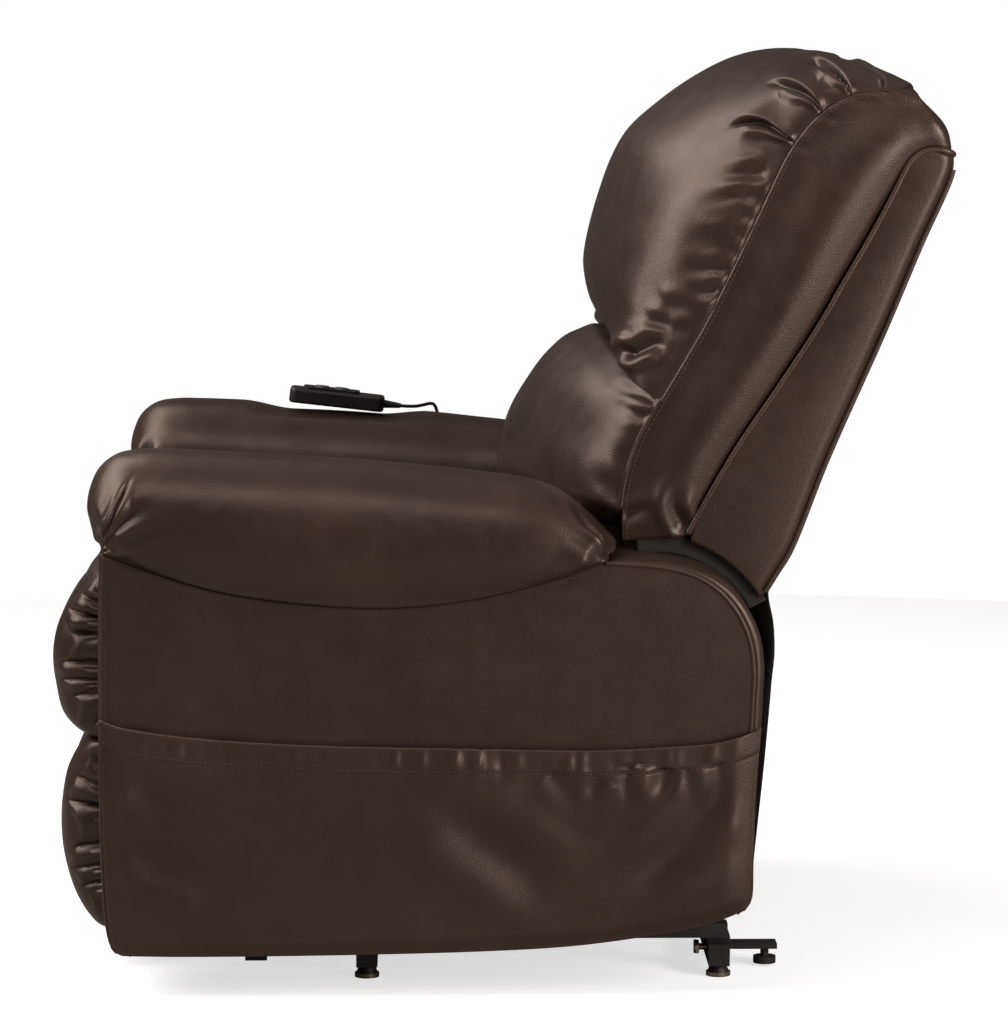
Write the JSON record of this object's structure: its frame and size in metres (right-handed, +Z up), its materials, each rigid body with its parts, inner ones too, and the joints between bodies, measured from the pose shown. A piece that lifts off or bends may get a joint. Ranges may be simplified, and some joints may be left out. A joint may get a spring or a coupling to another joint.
{
  "type": "lift recliner chair",
  "caption": "Upholstered powered lift recliner chair with tilting base linkage, reclining pillow back, folding leg rest, wired handset and side pocket.",
  "frame": {"origin": "on the floor, under the middle of the chair", "axes": "+Z up, -Y is the way the chair faces, +X is the sitter's left"},
  "size_m": [0.912, 1.0524, 1.0909],
  "materials": {
    "frame_black": "black powder coat, satin",
    "nickel": "bright nickel",
    "black_plastic": "fine moulded texture",
    "handset_plastic": "soft matte black",
    "button_grey": "matte grey rubberised",
    "usb_blue": "gloss blue insert",
    "rubber": "matte black rubber",
    "upholstery": "dark brown coated faux leather over foam, fine pebble grain, semi gloss",
    "upholstery_skin": "dark brown coated faux leather sheet, fine pebble grain, semi gloss",
    "dust_fabric": "brown coated cloth",
    "plywood": "raw plywood",
    "spring_steel": "oiled spring steel",
    "motor_black": "black moulded nylon",
    "rod_steel": "ground steel",
    "cord_black": "matte black PVC"
  },
  "bodies": {
    "base": {"front_cross_tube": "frame_black", "rear_cross_tube": "frame_black", "base_side_rails": "frame_black", "riser_plates": "frame_black", "tube_end_caps": "black_plastic", "glide_collars": "black_plastic", "glide_pads": "nickel", "stabilizer_arms": "frame_black", "stabilizer_feet": "rubber", "wing_bolts": "nickel", "lift_motor_bracket": "frame_black"},
    "lower_links": {"lower_link_plates": "frame_black", "lower_link_tube": "frame_black", "link_bumpers": "rubber"},
    "upper_links": {"upper_links": "frame_black"},
    "lift_motor": {"lift_motor": "motor_black"},
    "lift_rod": {"lift_rod": "rod_steel"},
    "chair": {"carrier_plates": "frame_black", "seat_side_rails": "plywood", "seat_cross_rails": "plywood", "motor_mount_tube": "frame_black", "seat_springs": "spring_steel", "seat_cushion": "upholstery", "left_arm_frame": "plywood", "right_arm_frame": "plywood", "left_side_cover": "upholstery_skin", "right_side_cover": "upholstery_skin", "left_arm_pad": "upholstery", "right_arm_pad": "upholstery", "side_pocket": "upholstery_skin", "rear_dust_cover": "dust_fabric", "hinge_lower_brackets": "frame_black", "control_box": "black_plastic", "power_inlet": "black_plastic", "cord_gland": "rubber", "handset_body": "handset_plastic", "handset_keypad": "handset_plastic", "usb_socket": "usb_blue", "handset_strain_relief": "rubber", "handset_cord": "cord_black"},
    "button_up": {"button_up": "button_grey"},
    "button_down": {"button_down": "button_grey"},
    "back": {"back_frame": "plywood", "back_lower_tube": "frame_black", "back_shell": "upholstery_skin", "head_pillow": "upholstery", "lumbar_pillow": "upholstery", "hinge_upper_brackets": "frame_black"},
    "recline_motor": {"recline_motor": "motor_black"},
    "recline_rod": {"recline_rod": "rod_steel"},
    "legrest_link_a": {"legrest_link_a": "frame_black"},
    "legrest_link_b": {"legrest_link_b": "frame_black"},
    "legrest_link_c": {"legrest_link_c": "frame_black"},
    "legrest_link_d": {"legrest_link_d": "frame_black"},
    "legrest_board": {"legrest_board": "plywood", "legrest_ears": "frame_black", "legrest_upper_pad": "upholstery", "legrest_lower_pad": "upholstery"},
    "legrest_motor": {"legrest_motor": "motor_black"},
    "legrest_rod": {"legrest_rod": "rod_steel"}
  },
  "joints": [
    {"name": "lift", "type": "hinge", "parent": "base", "child": "lower_links", "pos_m": [0, 0.14, 0.09], "axis": [-1, 0, 0], "range_deg": [0, 25]},
    {"name": "chair_tilt", "type": "hinge", "parent": "lower_links", "child": "chair", "pos_m": [0, -0.324, 0.026], "axis": [1, 0, 0], "range_deg": [0, 51]},
    {"name": "upper_link_swing", "type": "hinge", "parent": "base", "child": "upper_links", "pos_m": [0, 0.11, 0.17], "axis": [-1, 0, 0], "range_deg": [0, 24.2]},
    {"name": "lift_motor_swing", "type": "hinge", "parent": "base", "child": "lift_motor", "pos_m": [0, 0.25, 0.18], "axis": [-1, 0, 0], "range_deg": [0, 16]},
    {"name": "lift_rod_slide", "type": "slide", "parent": "lift_motor", "child": "lift_rod", "axis": [0, 1, 0], "range_m": [0, 0.0446]},
    {"name": "recline", "type": "hinge", "parent": "chair", "child": "back", "pos_m": [0, 0.187, 0.385], "axis": [-1, 0, 0], "range_deg": [0, 34]},
    {"name": "recline_motor_swing", "type": "hinge", "parent": "chair", "child": "recline_motor", "pos_m": [0, -0.04, 0.24], "axis": [-1, 0, 0], "range_deg": [0, 4.7]},
    {"name": "recline_rod_slide", "type": "slide", "parent": "recline_motor", "child": "recline_rod", "axis": [0, -0.9487, -0.3162], "range_m": [0, 0.0448]},
    {"name": "legrest_open", "type": "hinge", "parent": "chair", "child": "legrest_link_a", "pos_m": [0, -0.3, 0.3], "axis": [-1, 0, 0], "range_deg": [0, 75.2]},
    {"name": "legrest_b_swing", "type": "hinge", "parent": "legrest_link_a", "child": "legrest_link_b", "pos_m": [0, -0.29, 0.09], "axis": [1, 0, 0], "range_deg": [0, 101.5]},
    {"name": "legrest_board_swing", "type": "hinge", "parent": "legrest_link_b", "child": "legrest_board", "pos_m": [0, -0.432, 0.3], "axis": [-1, 0, 0], "range_deg": [0, 108.3]},
    {"name": "legrest_c_swing", "type": "hinge", "parent": "chair", "child": "legrest_link_c", "pos_m": [0, -0.34, 0.33], "axis": [-1, 0, 0], "range_deg": [0, 78.1]},
    {"name": "legrest_d_swing", "type": "hinge", "parent": "legrest_link_a", "child": "legrest_link_d", "pos_m": [0, -0.2779, 0.1506], "axis": [1, 0, 0], "range_deg": [0, 102.3]},
    {"name": "legrest_motor_swing", "type": "hinge", "parent": "chair", "child": "legrest_motor", "pos_m": [0, -0.04, 0.28], "axis": [-1, 0, 0], "range_deg": [0, 38.8]},
    {"name": "legrest_rod_slide", "type": "slide", "parent": "legrest_motor", "child": "legrest_rod", "axis": [0, -0.7415, -0.6709], "range_m": [0, 0.1425]},
    {"name": "button_up_press", "type": "slide", "parent": "chair", "child": "button_up", "axis": [0, -0.1132, -0.9936], "range_m": [0, 0.001], "stiffness_N_per_m": 400, "springref_m": -0.001},
    {"name": "button_down_press", "type": "slide", "parent": "chair", "child": "button_down", "axis": [0, -0.1132, -0.9936], "range_m": [0, 0.001], "stiffness_N_per_m": 400, "springref_m": -0.001}
  ],
  "couplings": [
    {"joint": "chair_tilt", "follows": "lift", "ratio": 2.04},
    {"joint": "upper_link_swing", "follows": "lift", "ratio": 0.96387},
    {"joint": "lift_motor_swing", "follows": "lift", "ratio": 0.63639},
    {"joint": "lift_rod_slide", "follows": "lift", "m_per_rad": 0.10093},
    {"joint": "recline_motor_swing", "follows": "recline", "ratio": 0.13534},
    {"joint": "recline_rod_slide", "follows": "recline", "m_per_rad": 0.074572},
    {"joint": "legrest_b_swing", "follows": "legrest_open", "ratio": 1.3484},
    {"joint": "legrest_board_swing", "follows": "legrest_open", "ratio": 1.4388},
    {"joint": "legrest_c_swing", "follows": "legrest_open", "ratio": 1.0369},
    {"joint": "legrest_d_swing", "follows": "legrest_open", "ratio": 1.3587},
    {"joint": "legrest_motor_swing", "follows": "legrest_open", "ratio": 0.51459},
    {"joint": "legrest_rod_slide", "follows": "legrest_open", "m_per_rad": 0.10834}
  ]
}
